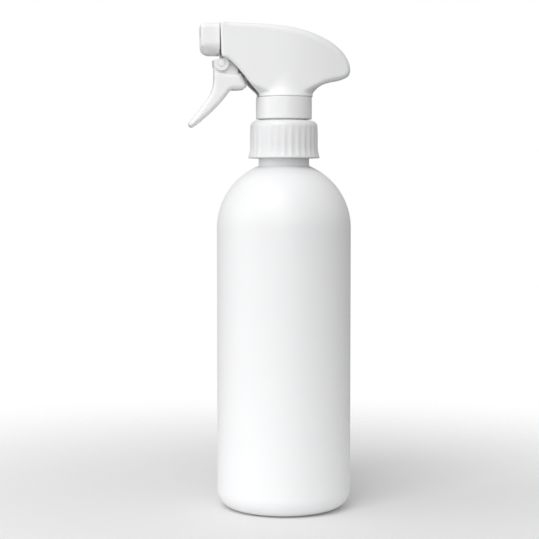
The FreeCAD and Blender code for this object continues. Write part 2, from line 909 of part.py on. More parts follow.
def trigger():
    """A channel-section lever whose narrower hub stands between the ears, with a trunnion each side."""
    body = new_body("Trigger")
    lever = outline(body, "Lever_outline", "XZ_Plane", from_pivot([
        (-3.3, -7.6),
        (-7.2, -18.2, -17.5),
        (-15.9, -29.0),
        (-14.0, -30.9, 1.35),
        (2.7, -14.2, 70.0),
        (4.9, -12.7, -3.2),
        (11.0, -12.7),
        (13.4, -9.4, 2.6),
        (11.5, -5.8),
        (9.1, -4.3, 2.8),
        (-1.8, -4.3),
        (-3.3, -5.8, 1.5),
    ]))
    pad(body, "Lever", lever, of("trigger_width"), centred=True)
    soften(body, "Lever_edges", of("lever_edge"), is_lever_rim)
    hub = outline(body, "Hub_outline", "XZ_Plane", from_pivot([
        (-3.3, -7.0),
        (3.0, -7.5),
        (8.0, -2.0),
        (5.4, 2.0),
        (-2.3, 2.0),
        (-3.3, 1.0, 1.0),
    ]))
    pad(body, "Hub", hub, of("hub_width"), centred=True)
    pins = circles(body, "Trunnion_outline", "XZ_Plane", [
        (of("pivot_x"), of("pivot_z"), of("trunnion_radius")),
    ])
    pad(body, "Trunnions", pins, of("cheek_outer") * 2, centred=True)
    face = rod_end_along() - of("rod_end_radius") - of("pad_gap")
    back = face - of("pad_thickness")
    channel = outline(body, "Channel_outline", "XZ_Plane", from_pivot([
        (-1.4, -7.7),
        (-5.8, -19.35, -19.3),
        (-10.9, -25.7),
        (-8.5, -28.5),
        (6.0, -17.0),
        pump_point(back, 17.5),
        pump_point(back, 7.5),
    ]))
    pocket(body, "Channel", channel, of("channel_width"), centred=True)
    socket = outline(body, "Socket_outline", "XZ_Plane", from_pivot([
        pump_point(face, 10.2),
        pump_point(face, 18.5),
        pump_point(as_size(12), 18.5),
        pump_point(as_size(12), 10.2),
    ]))
    pocket(body, "Socket", socket, of("channel_width"), centred=True)
    finish("trigger", body)


# ---------------------------------------------------------------- nozzle

def square(side, corner):
    """A square with rounded corners about the origin."""
    half, flat = side / 2, side / 2 - corner
    return [
        (flat, -half), (half, -flat, corner), (half, flat), (flat, half, corner),
        (-flat, half), (-half, flat, corner), (-half, -flat), (-flat, -half, corner),
    ]


def nozzle_cap():
    """A square cap with an inner sleeve that turns on the end of the barrel."""
    depth = of("nozzle_rear") - of("nozzle_front")
    room = depth - of("nozzle_face")
    sleeve = of("barrel_radius") + 0.05
    body = new_body("Nozzle")
    side, corner, wall = of("nozzle_side"), of("nozzle_corner"), of("nozzle_wall")
    pad(body, "Nozzle_block", outline(body, "Nozzle_square", "XY_Plane", square(side, corner)), depth)
    soften(body, "Nozzle_edge", of("nozzle_edge"), lambda edge: edge.BoundBox.ZMin > depth.value - 0.01)
    space = outline(body, "Nozzle_space", "XY_Plane", square(side - wall * 2, corner - wall))
    add_circle(space, 0, 0, sleeve + of("sleeve_wall"))
    pocket(body, "Nozzle_hollow", space, room, reverse=True)
    bore = circles(body, "Sleeve_outline", "XY_Plane", [(0, 0, sleeve)])
    pocket(body, "Sleeve_bore", bore, room, reverse=True)
    seat = circles(body, "Insert_outline", "XY_Plane", [(0, 0, of("insert_radius"))])
    pocket(body, "Insert_seat", seat, depth, reverse=True)
    recess = circles(
        body, "Recess_outline", "XY_Plane", [(0, 0, of("recess_radius"))], depth - of("recess_depth"))
    pocket(body, "Face_recess", recess, 2, reverse=True)
    place(body, (of("nozzle_rear"), 0, of("barrel_height")), FORWARD)
    finish("nozzle_cap", body)


def orifice_insert():
    radius, hole = of("insert_radius") - 0.01, of("orifice_radius")
    low = of("nozzle_rear") - of("nozzle_front") - of("nozzle_face")
    high = low + of("nozzle_face") - of("recess_depth")
    insert = turned("Insert", [
        (hole, low),
        (radius, low),
        (radius, high - 0.2),
        (radius - 0.2, high),
        (hole + 0.8, high),
        (hole, high - 0.5),
    ])
    place(insert, (of("nozzle_rear"), 0, of("barrel_height")), FORWARD)
    finish("orifice_insert", insert)


def swirl_spinner():
    """A hollow post whose slotted face makes the liquid swirl before the orifice."""
    radius, front = of("barrel_bore") - 0.02, as_size(5.7)
    post = turned("Spinner_post", [
        (1.0, 0.1), (radius, 0.1), (radius, front), (0, front), (0, front - 1.2), (1.0, front - 1.2),
    ])
    slots = [
        box("Swirl_slot_a", (0.5, -3, front - 1.4), (1.0, 3, front + 1)),
        box("Swirl_slot_b", (-1.0, -3, front - 1.4), (-0.5, 3, front + 1)),
    ]
    spinner = cut("Spinner", post, slots)
    place(spinner, (of("barrel_front") + 5.5, 0, of("barrel_height")), FORWARD)
    finish("swirl_spinner", spinner)


def nozzle_seal():
    ring = doc.addObject("Part::Torus", "Nozzle_seal")
    bind(ring, "Radius1", of("barrel_radius") - of("seal_ring"))
    bind(ring, "Radius2", of("seal_ring"))
    place(ring, (of("seal_place"), 0, of("barrel_height")), FORWARD)
    finish("nozzle_seal", ring)


# ---------------------------------------------------------------- shroud

def shroud_side(wall):
    """The hood from the side: throat slope, underside, tail, back and top, drawn in by a wall."""
    front = of("shroud_front") + wall
    return [
        (front, 224.6 - wall),
        (-30.0 + wall, 224.4 - wall),
        (-17.9 + wall * 0.4, 212.0 + wall),
        (19.5 - wall * 0.1, 212.0 + wall),
        (29.5 - wall * 0.2, 214.2 + wall),
        (32.9 - wall, 217.4, 3.9 - wall),
        (32.9 - wall, 218.4),
        (28.1 - wall * 0.669, 228.9 - wall * 0.743, 14.6 - wall),
        (0.0 - wall * 0.131, 239.9 - wall * 0.991, 51.0 - wall),
        (front, 241.4 - wall, 245.0 - wall),
    ]


def shroud_plan(wall):
    """The hood from above: straight cheeks that draw in to a round tail, drawn in by a wall."""
    front, half = of("shroud_front") + wall, of("shroud_half_width") - wall
    sweep = 127.0 - wall
    narrow = sweep * (122.5 / 127.0) - (sweep - half)
    tail_x = sweep * (33.5 / 127.0) - 5.0
    return [
        (front, -half),
        (-5.0, -half),
        (tail_x, -narrow, sweep),
        (32.9 - wall, -1.2, 5.6 - wall),
        (32.9 - wall, 1.2),
        (tail_x, narrow, 5.6 - wall),
        (-5.0, half, sweep),
        (front, half),
    ]


def ring_points(radius):
    """A circle as eight arcs, so that it lofts evenly to a rounded rectangle."""
    turns = [math.radians(angle) for angle in (-60, -30, 30, 60, 120, 150, 210, 240)]
    return [(radius * math.cos(a), radius * math.sin(a), radius) for a in turns]


def oblong_points(low, high, half, corner):
    """A rectangle with round corners, in the order of ring_points."""
    return [
        (high - corner, -half), (high, corner - half, corner),
        (high, half - corner), (high - corner, half, corner),
        (low + corner, half), (low, half - corner, corner),
        (low, corner - half), (low + corner, -half, corner),
    ]


def hood(name, wall):
    """The hood's solid form, drawn in from the outside by a wall."""
    side = outline(None, name + "_side", "XZ_Plane", shroud_side(wall))
    plan = outline(None, name + "_plan", "XY_Plane", shroud_plan(wall))
    across = extruded(name + "_across", side, 60)
    upright = extruded(name + "_upright", plan, 600)
    return common(name + "_form", [across, upright])


def skirt(name, wall):
    """The flare from the collar's circle up into the hood."""
    low, high = of("collar_top"), as_size(215.0)
    sections = [
        outline(None, name + "_ring", "XY_Plane", ring_points(of("collar_radius") - wall), low),
        outline(None, name + "_oblong", "XY_Plane", oblong_points(
            as_size(-19.5) + wall, as_size(22.0) - wall, of("shroud_half_width") - wall - 0.1,
            as_size(7.5) - wall), high),
    ]
    loft = doc.addObject("Part::Loft", name + "_loft")
    loft.Sections = sections
    loft.Solid = True
    doc.recompute()
    return loft


def shroud():
    """The cover over barrel and pump, open below in front for the trigger."""
    wall, half = of("shroud_wall"), of("shroud_half_width")
    outer = joined("Shroud_outer", [hood("Hood", as_size(0)), skirt("Skirt", as_size(0))])
    inner = joined("Shroud_inner", [hood("Hollow", wall), skirt("Throat", wall)])
    mouth = extruded("Mouth", outline(None, "Mouth_outline", "XZ_Plane", [
        (of("shroud_front") + wall, 229.0),
        (of("shroud_front") + wall, 215.0),
        (-22.0, 204.0),
        (-11.0, 204.0),
        (-11.0, 216.0),
    ]), (half - wall) * 2)
    slot, high = of("shroud_slot"), of("barrel_height")
    front, behind = of("shroud_front") - 1, of("shroud_front") + 3
    fork = joined("Fork", [
        box("Fork_slot", (front, -slot, 220), (behind, slot, high)),
        cylinder("Fork_round", slot, 4, (behind, 0, high), FORWARD),
    ])
    foot = cylinder("Shroud_foot", of("collar_radius") - wall, 3, (0, 0, of("collar_top") - 1.5))
    shell = cut("Shroud", outer, [inner, mouth, fork, foot])
    finish("shroud", shell)


# ---------------------------------------------------------------- build and write

def build():
    bottle()
    closure_ring()
    neck_gasket()
    tube_retainer()
    dip_tube()
    intake_filter()
    valve_balls()
    sprayer_body()
    barrel_plug()
    piston_rod()
    piston_seal()
    springs()
    trigger()
    nozzle_cap()
    orifice_insert()
    swirl_spinner()
    nozzle_seal()
    shroud()
    doc.recompute()


def check_and_write():
    for item in doc.Objects:
        if "Invalid" in item.State or "Error" in item.State:
            raise RuntimeError(f"{item.Name} failed to compute: {item.State}")
    for label, item in finished.items():
        if item.Shape.isNull() or not item.Shape.isValid():
            raise RuntimeError(f"{label} has no valid shape")
    os.makedirs("parts", exist_ok=True)
    for label, item in finished.items():
        item.Shape.exportStep(f"parts/{label}.step")
        bounds = item.Shape.BoundBox
        print(f"{label}: {len(item.Shape.Solids)} solid, {item.Shape.Volume:.0f} mm3,",
              f"z {bounds.ZMin:.2f} to {bounds.ZMax:.2f}")


build()
check_and_write()
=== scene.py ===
"""Studio scene of a white trigger spray bottle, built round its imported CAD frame.

Outlines are in millimetres in the row frame: -X is the nozzle's side, +Z is up.
"""
import json
import math
import bpy
import numpy as np
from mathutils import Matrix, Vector


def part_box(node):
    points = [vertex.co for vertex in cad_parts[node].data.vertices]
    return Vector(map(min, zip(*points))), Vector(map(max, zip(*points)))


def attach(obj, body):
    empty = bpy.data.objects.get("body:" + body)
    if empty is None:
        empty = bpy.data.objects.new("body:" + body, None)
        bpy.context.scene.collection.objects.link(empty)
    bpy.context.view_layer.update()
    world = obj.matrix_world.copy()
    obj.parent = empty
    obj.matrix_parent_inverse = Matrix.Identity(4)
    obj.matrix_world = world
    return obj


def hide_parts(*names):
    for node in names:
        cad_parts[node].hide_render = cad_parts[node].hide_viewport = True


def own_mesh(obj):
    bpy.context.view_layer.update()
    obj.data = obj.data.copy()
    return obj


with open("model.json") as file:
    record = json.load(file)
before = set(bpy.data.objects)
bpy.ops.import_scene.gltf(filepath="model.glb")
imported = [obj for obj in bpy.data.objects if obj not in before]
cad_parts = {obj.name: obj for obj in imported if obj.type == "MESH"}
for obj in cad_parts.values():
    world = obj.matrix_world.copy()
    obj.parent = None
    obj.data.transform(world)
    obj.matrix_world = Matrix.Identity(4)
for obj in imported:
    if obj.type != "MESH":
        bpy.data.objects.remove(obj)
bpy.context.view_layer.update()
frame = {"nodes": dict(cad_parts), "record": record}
scene = bpy.context.scene

MM = 0.001                            # metres in a millimetre
COLLAR_Z, COLLAR_R = 205.3, 13.9      # the collar's top and radius
PIVOT = (-31.6, 221.6)                # the trigger's axis, x and z
BARREL_Z = 233.4                      # the height of the barrel's axis
SHROUD_FRONT, SHROUD_TOP, SHROUD_WALL = -32.1, 241.4, 1.4
FRONT_SLANT = 0.045                   # how far the shroud's front leans back for each mm down
FLARE_FOOT, FLARE_RISE = 206.0, 10    # where the skirt starts to narrow, and over what height
FLARE_SLOPE, FLARE_EASE = 0.80, 0.035
LEVER_HALF, CHANNEL_HALF = 7.0, 5.2   # half-widths across Y
HUB_HALF = 5.5
PIN_R, PIN_HALF = 1.84, 7.18
PUMP_OFFSET = 12.903                  # from the pivot down to the piston's line
NOZZLE_HALF, NOZZLE_WALL, SLEEVE_R = 7.85, 1.4, 4.55
SHOULDER_Z, BOTTLE_R, NECK_R = 140.4, 33.44, 12.6
INNER_R, BORE_R = 32.5, 10.9          # inside the bottle and its neck
SEAM_HEIGHT, SEAM_SPREAD = 0.055, 0.22
GRIPS, GRIP_DEPTH = 30, 0.27
THREAD_PITCH = 4.233
COIL_STEPS, COIL_SIDES, CLOSED_TURNS = 48, 12, 1.5


# ---------------------------------------------------------------- outlines

def arc(start, end, radius, step=0.8):
    """Points after start on the short arc to end; a positive radius turns left."""
    ax, ay = start
    bx, by = end
    run = math.hypot(bx - ax, by - ay)
    rise = math.sqrt(max(radius * radius - run * run / 4, 0)) * (1 if radius > 0 else -1)
    cx = (ax + bx) / 2 - (by - ay) / run * rise
    cy = (ay + by) / 2 + (bx - ax) / run * rise
    first = math.atan2(ay - cy, ax - cx)
    sweep = math.atan2(by - cy, bx - cx) - first
    if radius > 0 and sweep < 0:
        sweep += math.tau
    if radius < 0 and sweep > 0:
        sweep -= math.tau
    count = max(2, math.ceil(abs(sweep * radius) / step), math.ceil(abs(sweep) / 0.12))
    angles = [first + sweep * i / count for i in range(1, count + 1)]
    return [(cx + abs(radius) * math.cos(a), cy + abs(radius) * math.sin(a)) for a in angles]


def traced(points):
    """A closed outline: (x, y) is reached by a line and (x, y, radius) by an arc."""
    path = []
    for i, point in enumerate(points):
        start = points[i - 1][:2]
        path += arc(start, point[:2], point[2]) if len(point) == 3 else [point]
    return path


def smooth_run(points, parts=5):
    """A curve through the points, as a list of close points."""
    p = [Vector(q) for q in (points[0], *points, points[-1])]
    path = []
    for a, b, c, d in zip(p, p[1:], p[2:], p[3:]):
        for i in range(parts):
            t = i / parts
            q = 2 * b + (c - a) * t + (2 * a - 5 * b + 4 * c - d) * t**2
            q += (3 * b - a - 3 * c + d) * t**3
            path.append(tuple(q / 2))
    return path + [tuple(points[-1])]


def signed_distance(outline, u, v):
    """Distance from points (u, v) to a closed outline, negative inside it."""
    best = np.full(np.shape(u), 1e9)
    inside = np.zeros(np.shape(u), bool)
    for (ax, ay), (bx, by) in zip(outline, outline[1:] + outline[:1]):
        ex, ey = bx - ax, by - ay
        wx, wy = u - ax, v - ay
        t = np.clip((wx * ex + wy * ey) / (ex * ex + ey * ey), 0, 1)
        best = np.minimum(best, (wx - t * ex) ** 2 + (wy - t * ey) ** 2)
        crossing = (ay > v) != (by > v)
        if ay != by:
            inside ^= crossing & (u < ex * (v - ay) / ey + ax)
    return np.where(inside, -1, 1) * np.sqrt(best)


# ---------------------------------------------------------------- solid fields

def both(a, b, radius=0.0):
    """The overlap of two solids, with a round of that radius where their faces meet."""
    a, b = a + radius, b + radius
    outside = np.hypot(np.maximum(a, 0), np.maximum(b, 0))
    return np.minimum(np.maximum(a, b), 0) + outside - radius


def ramp(value, start, end):
    """0 at start and 1 at end, with a soft start and end."""
    t = np.clip((value - start) / (end - start), 0, 1)
    return t * t * (3 - 2 * t)


def net(field, low, high, step):
    """Vertices and quads of the surface where the field is zero, in a box of cells.

    There is one vertex for each cell that the surface crosses. Each settles on the surface, and
    three times moves towards its neighbours and settles again. The boxes start where no edge of
    the result has more than two faces.
    """
    axes = [np.arange(a, b + step, step) for a, b in zip(low, high)]
    values = field(*np.meshgrid(*axes, indexing="ij"))
    inside = values < 0
    shape = [n - 1 for n in inside.shape]
    count = np.zeros(shape, int)
    for dx in (0, 1):
        for dy in (0, 1):
            for dz in (0, 1):
                count += inside[dx:dx + shape[0], dy:dy + shape[1], dz:dz + shape[2]]
    mixed = (count > 0) & (count < 8)
    number = np.full(shape, -1)
    number[mixed] = np.arange(mixed.sum())
    cells = np.argwhere(mixed)
    centre = np.array(low) + (cells + 0.5) * step
    quads = []
    for axis in range(3):
        near = [slice(None)] * 3
        far = [slice(None)] * 3
        near[axis], far[axis] = slice(None, -1), slice(1, None)
        changed = inside[tuple(near)] != inside[tuple(far)]
        spots = np.argwhere(changed)
        s, t = (axis + 1) % 3, (axis + 2) % 3
        keep = (spots[:, s] > 0) & (spots[:, t] > 0)
        keep &= (spots[:, s] < shape[s]) & (spots[:, t] < shape[t])
        spots = spots[keep]
        corners = []
        for ds, dt in ((0, 0), (-1, 0), (-1, -1), (0, -1)):
            cell = spots.copy()
            cell[:, s] += ds
            cell[:, t] += dt
            corners.append(number[tuple(cell.T)])
        quad = np.stack(corners, 1)
        leaving = inside[tuple(spots.T)]
        quad[~leaving] = quad[~leaving][:, ::-1]
        quads.append(quad)
    quads = np.concatenate(quads)

    def settle(points, turns):
        for _ in range(turns):
            here = field(*points.T)
            ahead = [field(*(points + 0.01 * axis).T) for axis in np.eye(3)]
            slope = (np.stack(ahead, 1) - here[:, None]) / 0.01
            size = np.maximum((slope**2).sum(1), 0.05)
            points = points - (here / size)[:, None] * slope
            points = np.clip(points, centre - 0.9 * step, centre + 0.9 * step)
        return points

    points = settle(centre, 3)
    for _ in range(3):
        total, links = np.zeros_like(points), np.zeros(len(points))
        for here, there in ((0, 1), (1, 0), (1, 2), (2, 1), (2, 3), (3, 2), (3, 0), (0, 3)):
            np.add.at(total, quads[:, here], points[quads[:, there]])
            np.add.at(links, quads[:, here], 1)
        points = settle(0.4 * points + 0.6 * total / links[:, None], 2)
    return points, quads


def new_mesh(name, points, faces, body, material, replaced=()):
    """A smooth mesh piece, from points in millimetres, that rides on a body."""
    mesh = bpy.data.meshes.new(name)
    mesh.from_pydata((np.asarray(points) * MM).tolist(), [], [list(map(int, f)) for f in faces])
    mesh.polygons.foreach_set("use_smooth", [True] * len(mesh.polygons))
    mesh.update()
    mesh.materials.append(material)
    piece = bpy.data.objects.new(name, mesh)
    scene.collection.objects.link(piece)
    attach(piece, body)
    if replaced:
        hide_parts(*replaced)
    return piece


def lathe(profile, angles, wave):
    """Points and quads of a closed (radius, height) profile turned about Z, with a wave on it."""
    radii = np.array([p[0] for p in profile])
    heights = np.array([p[1] for p in profile])
    turn = np.array(angles)
    r = np.repeat(radii[None, :], len(turn), 0)
    r = r + wave(turn[:, None], radii[None, :], heights[None, :])
    x, y = r * np.cos(turn)[:, None], r * np.sin(turn)[:, None]
    points = np.stack([x, y, np.repeat(heights[None, :], len(turn), 0)], 2).reshape(-1, 3)
    n, m = len(profile), len(turn)
    faces = []
    for j in range(m):
        k = (j + 1) % m
        for i in range(n):
            e = (i + 1) % n
            faces.append((j * n + i, j * n + e, k * n + e, k * n + i)[::-1])
    return points, faces


# ---------------------------------------------------------------- materials

def plastic(name, colour, rough, waves=(60, 0.00004), grain=(2600, 0.000004), soft=0.1,
            tint=0.985):
    """A moulded plastic: faint mottle, slow waves in the surface and a fine satin grain.

    waves and grain are each a noise scale and a depth in metres, and soft is the subsurface share.
    """
    mat = bpy.data.materials.new(name)
    mat.use_nodes = True
    nodes, links = mat.node_tree.nodes, mat.node_tree.links
    shader = nodes["Principled BSDF"]
    place = nodes.new("ShaderNodeTexCoord")

    def noise(scale, detail):
        node = nodes.new("ShaderNodeTexNoise")
        node.inputs["Scale"].default_value = scale
        node.inputs["Detail"].default_value = detail
        links.new(place.outputs["Object"], node.inputs["Vector"])
        return node.outputs["Fac"]

    mottle = nodes.new("ShaderNodeMix")
    mottle.data_type = "RGBA"
    mottle.inputs["A"].default_value = (*colour, 1)
    mottle.inputs["B"].default_value = (*(c * tint for c in colour), 1)
    links.new(noise(90, 3), mottle.inputs["Factor"])
    links.new(mottle.outputs["Result"], shader.inputs["Base Color"])
    gloss = nodes.new("ShaderNodeMapRange")
    gloss.inputs["To Min"].default_value = rough - 0.05
    gloss.inputs["To Max"].default_value = rough + 0.05
    links.new(noise(240, 4), gloss.inputs["Value"])
    links.new(gloss.outputs["Result"], shader.inputs["Roughness"])
    bumps = None
    for scale, depth in (waves, grain):
        bump = nodes.new("ShaderNodeBump")
        bump.inputs["Distance"].default_value = depth
        links.new(noise(scale, 2), bump.inputs["Height"])
        if bumps:
            links.new(bumps.outputs["Normal"], bump.inputs["Normal"])
        bumps = bump
    links.new(bumps.outputs["Normal"], shader.inputs["Normal"])
    shader.inputs["Subsurface Weight"].default_value = soft
    shader.inputs["Subsurface Radius"].default_value = (1, 0.9, 0.8)
    shader.inputs["Subsurface Scale"].default_value = 0.002
    shader.inputs["IOR"].default_value = 1.5
    return mat


def metal(name, rough, stretch):
    """A bright steel with fine drawn lines along the wire, or an even polish on a ball."""
    mat = plastic(name, (0.62, 0.62, 0.61), rough, waves=(900, 0.000003),
                  grain=(9000, 0.000002), soft=0)
    nodes, links = mat.node_tree.nodes, mat.node_tree.links
    nodes["Principled BSDF"].inputs["Metallic"].default_value = 1
    place = next(node for node in nodes if node.type == "TEX_COORD")
    scale = nodes.new("ShaderNodeMapping")
    scale.inputs["Scale"].default_value = stretch
    links.new(place.outputs["Object"], scale.inputs["Vector"])
    for node in nodes:
        if node.type == "TEX_NOISE":
            links.new(scale.outputs["Vector"], node.inputs["Vector"])
    return mat


def clear_plastic(name):
    """The dip tube's soft, slightly cloudy polyethylene."""
    mat = plastic(name, (0.93, 0.94, 0.93), 0.3, soft=0, tint=0.96)
    mat.node_tree.nodes["Principled BSDF"].inputs["Transmission Weight"].default_value = 0.7
    return mat


WHITE = (0.86, 0.862, 0.868)
steel = metal("spring_drawn", 0.24, (1, 6, 1))
bottle_white = plastic("bottle_white", WHITE, 0.42)
# The closure uses the same white plastic painted darker, as painted shade from the shroud above it
# and between its grips.
closure_shaded_white = plastic("closure_shaded_white", (0.80, 0.802, 0.808), 0.36)
head_white = plastic("head_white", WHITE, 0.34)
trigger_white = plastic("trigger_white", WHITE, 0.36)


# ---------------------------------------------------------------- shroud

top_run = smooth_run([
    (32.9, 218.2), (32.5, 221.6), (31.0, 225.2), (28.1, 228.9), (23.1, 232.6), (18.0, 235.2),
    (13.0, 237.1), (8.0, 238.5), (4.0, 239.3), (0.0, 239.9), (-6.0, 240.5), (-13.0, 240.9),
    (-22.0, 241.2), (-32.4, 241.4),
])
rear_run = smooth_run([
    (13.6, 203.0), (13.65, 205.3), (14.1, 207.0), (15.4, 208.9), (17.6, 210.8), (20.4, 212.2),
    (23.8, 213.2), (27.6, 213.9), (30.3, 214.8), (32.1, 216.2), (32.9, 218.2),
])
throat_run = smooth_run([
    (-32.4, 224.7), (-30.5, 224.5), (-27.9, 223.0), (-25.3, 220.8), (-22.7, 218.0),
    (-19.6, 214.3), (-17.0, 211.0), (-14.8, 207.9), (-13.4, 205.6), (-13.0, 204.0),
])
shroud_side = throat_run + [(-13.0, 200), (13.8, 200)] + rear_run[:-1] + top_run
shroud_plan = traced([
    (SHROUD_FRONT - 8, -10.5), (-5.0, -10.5), (29.0, -6.2, 127.0), (36.5, -4.4), (40, 0),
    (36.5, 4.4), (29.0, 6.2), (-5.0, 10.5, 127.0), (SHROUD_FRONT - 8, 10.5),
])
mouth_side = [
    (-30.7, 226.0), (-33.5, 226.0), (-33.5, 204.0), (-9.5, 204.0), (-9.5, 213.5), (-19, 222),
]


def merged(a, b, radius):
    """Two solids joined, with a fillet in the corner between them."""
    share = np.clip(0.5 + 0.5 * (b - a) / radius, 0, 1)
    return b + (a - b) * share - radius * share * (1 - share)


def shroud_form(x, y, z):
    """The shroud as if solid: a rounded hood on a skirt that flares to the collar's circle."""
    side = signed_distance(shroud_side, x, z)
    slant = FRONT_SLANT * np.maximum(SHROUD_TOP - z, 0)
    side = np.maximum(side, SHROUD_FRONT - 0.2 + slant - x)
    across = signed_distance(shroud_plan, x, y)
    top_round = 2.0 + 2.2 * ramp(x, -30, 30)
    under_round = 1.2 + 1.2 * ramp(x, -12, 14)
    edge = under_round + (top_round - under_round) * ramp(z, 219, 229)
    edge = 0.7 + (edge - 0.7) * ramp(x, -32.0, -27.5)
    edge = edge + (9.0 - edge) * ramp(z, 212.5, 205.6)
    hood = both(side, across, edge)
    above = np.clip(z - FLARE_FOOT, 0, FLARE_RISE)
    reach = COLLAR_R - 0.2 - FLARE_SLOPE * above + FLARE_EASE * above**2
    slope = FLARE_SLOPE - 2 * FLARE_EASE * above
    skirt = (np.hypot(x, y) - reach) / np.sqrt(1 + slope**2)
    skirt = both(skirt, z - 215.5, 1.0)
    return merged(hood, skirt, 2.2)


def shroud_field(x, y, z):
    """The shroud's shell: open below at the collar, in front at the mouth, and for the barrel."""
    outer = shroud_form(x, y, z)
    shell = np.maximum(outer, -outer - SHROUD_WALL)
    shell = both(shell, COLLAR_Z + 0.04 - z, 0.35)
    beside = np.abs(y) - 5.4 - 3.2 * ramp(z, 206, 213)
    mouth = both(signed_distance(mouth_side, x, z), beside)
    shell = both(shell, -mouth, 0.65)
    height = np.maximum(z - BARREL_Z, 0)
    fork = np.maximum(np.hypot(y, height) - 4.75, x - SHROUD_FRONT - 3)
    return both(shell, -fork, 0.3)


points, quads = net(shroud_field, (-33.55, -15.005, 204.34), (34.3, 14.9, 242.8), 0.5)
new_mesh("shroud_shell", points, quads, "head", head_white, ["shroud"])

# ---------------------------------------------------------------- trigger

def from_pivot(points):
    """An outline that is given from the trigger's axis, moved to its place."""
    return [(PIVOT[0] + p[0], PIVOT[1] + p[1], *p[2:]) for p in points]


lever_side = traced(from_pivot([
    (-3.3, -7.6), (-7.2, -18.2, -17.5), (-15.8, -29.1), (-13.7, -31.2, 1.6), (3.6, -14.6, 70.0),
    (5.8, -12.9, -3.2), (10.6, -12.7), (12.6, -10.0, 2.2), (9.9, -4.7), (-2.9, -4.7),
    (-3.3, -5.1, 0.4),
]))
hub_side = traced(from_pivot([
    (-3.3, -7.0), (3.0, -9.0), (8.6, -6.0), (8.4, -2.4), (5.4, 2.0), (-2.3, 2.0),
    (-3.3, 1.0, 1.0),
]))
channel_side = traced(from_pivot([
    (-1.4, -7.7), (-5.8, -19.35, -19.3), (-10.9, -25.7), (-8.0, -30.0), (7.0, -17.0),
    (5.9, -13.0), (3.1, -8.2),
]))
pad_slope = math.radians(39.7)


def trigger_field(x, y, z):
    """A channel lever, a narrower hub between the ears, its two pins and the rod's socket."""
    wide = np.abs(y)
    behind = np.hypot(x + 70.0, z - 230.0) - 38.5
    edge = 1.1 + 1.2 * ramp(behind, 0.0, 5.0)
    lever = both(signed_distance(lever_side, x, z), wide - LEVER_HALF, edge)
    hub = both(signed_distance(hub_side, x, z), wide - HUB_HALF, 0.3)
    pins = both(np.hypot(x - PIVOT[0], z - PIVOT[1]) - PIN_R, wide - PIN_HALF, 0.08)
    solid = np.minimum(np.minimum(lever, hub), pins)
    channel = both(signed_distance(channel_side, x, z), wide - CHANNEL_HALF, 0.5)
    solid = both(solid, -channel, 0.4)
    u, v = x - PIVOT[0], z - PIVOT[1]
    along = math.cos(pad_slope) * u + math.sin(pad_slope) * v
    across = math.sin(pad_slope) * u - math.cos(pad_slope) * v
    socket = both(both(-0.53 - along, np.abs(across - 14.3) - 4.3), wide - CHANNEL_HALF, 0.3)
    return both(solid, -socket, 0.3)


points, quads = net(trigger_field, (-48.6, -7.93, 189.0), (-17.6, 7.8, 224.4), 0.38)
new_mesh(
    "trigger_lever", points, quads, "trigger", trigger_white, ["trigger"],
)

# ---------------------------------------------------------------- nozzle


def nozzle_field(x, y, z):
    """A square cap, fuller at the foot of its face, with a ringed recess round the orifice."""
    h = z - BARREL_Z
    corner = 2.6 + 1.4 * ramp(h, 2, -2)
    section = both(np.abs(y) - NOZZLE_HALF, np.abs(h) - NOZZLE_HALF, corner)
    foot = (np.abs(y) - h) * math.sqrt(0.5) - 8.5
    section = both(section, foot, 1.6)
    face = 1.6 + 2.6 * ramp(h, 1.0, -6.0)
    solid = both(section, -41.7 - x, face)
    solid = both(solid, x + 32.4, 0.25)
    hollow = both(section + NOZZLE_WALL, SLEEVE_R + 1.3 - np.hypot(y, h))
    bore = np.minimum(hollow, np.hypot(y, h) - SLEEVE_R)
    solid = both(solid, -both(bore, -39.9 - x, 0.3), 0.25)
    recess = both(np.hypot(y, h) - 3.4, x + 41.1, 0.2)
    solid = both(solid, -recess, 0.25)
    return both(solid, 2.19 - np.hypot(y, h), 0.1)


points, quads = net(nozzle_field, (-42.6, -8.6, 224.8), (-31.6, 8.6, 242.0), 0.4)
new_mesh("nozzle_shell", points, quads, "nozzle", head_white, ["nozzle_cap"])

# ---------------------------------------------------------------- bottle

climb = math.sqrt((BOTTLE_R + 1.0) ** 2 - (NECK_R + 1.0) ** 2)
dome_end = (
    (NECK_R + 1.0) * BOTTLE_R / (BOTTLE_R + 1.0),
    SHOULDER_Z + climb * BOTTLE_R / (BOTTLE_R + 1.0),
    BOTTLE_R,
)
inner_top = SHOULDER_Z + math.sqrt(INNER_R**2 - BORE_R**2)
bottle_profile = traced([
    (0.02, 3.0), (19.4, 0.22, -68.0), (20.6, 0.05), (22.0, 0.01), (24.0, 0.01),
    (BOTTLE_R, 9.5, 9.5), (BOTTLE_R, 60.0), (BOTTLE_R, 100.0), (BOTTLE_R, SHOULDER_Z), dome_end,
    (NECK_R, SHOULDER_Z + climb, -1.0), (NECK_R, 177.0), (NECK_R, 189.7),
    (NECK_R - 0.3, 190.0, 0.3), (11.1, 190.0), (BORE_R, 189.8, 0.2), (BORE_R, inner_top),
    (INNER_R, SHOULDER_Z, -INNER_R), (INNER_R, 9.5), (24.0, 1.0, -8.5), (20.0, 1.0),
    (0.02, 4.0, 68.0),
])


def seam(turn, radius, height):
    """The mould's parting line, a fine ridge down the two sides and over the shoulder."""
    off = np.abs((turn + math.pi / 2) % math.pi - math.pi / 2) * radius
    outside = (radius > 12) & (np.hypot(radius, np.maximum(height - SHOULDER_Z, 0)) > 33.0)
    return SEAM_HEIGHT * np.exp(-((off / SEAM_SPREAD) ** 2)) * outside * ramp(height, 2, 9)


even = [math.tau * i / 192 for i in range(192)]
close = [side + off * 0.0033 for side in (0, math.pi) for off in (-4, -3, -2, -1, 1, 2, 3, 4)]
points, faces = lathe(bottle_profile, sorted((a % math.tau) for a in even + close), seam)
new_mesh("bottle_shell", points, faces, "bottle", bottle_white, ["bottle"])

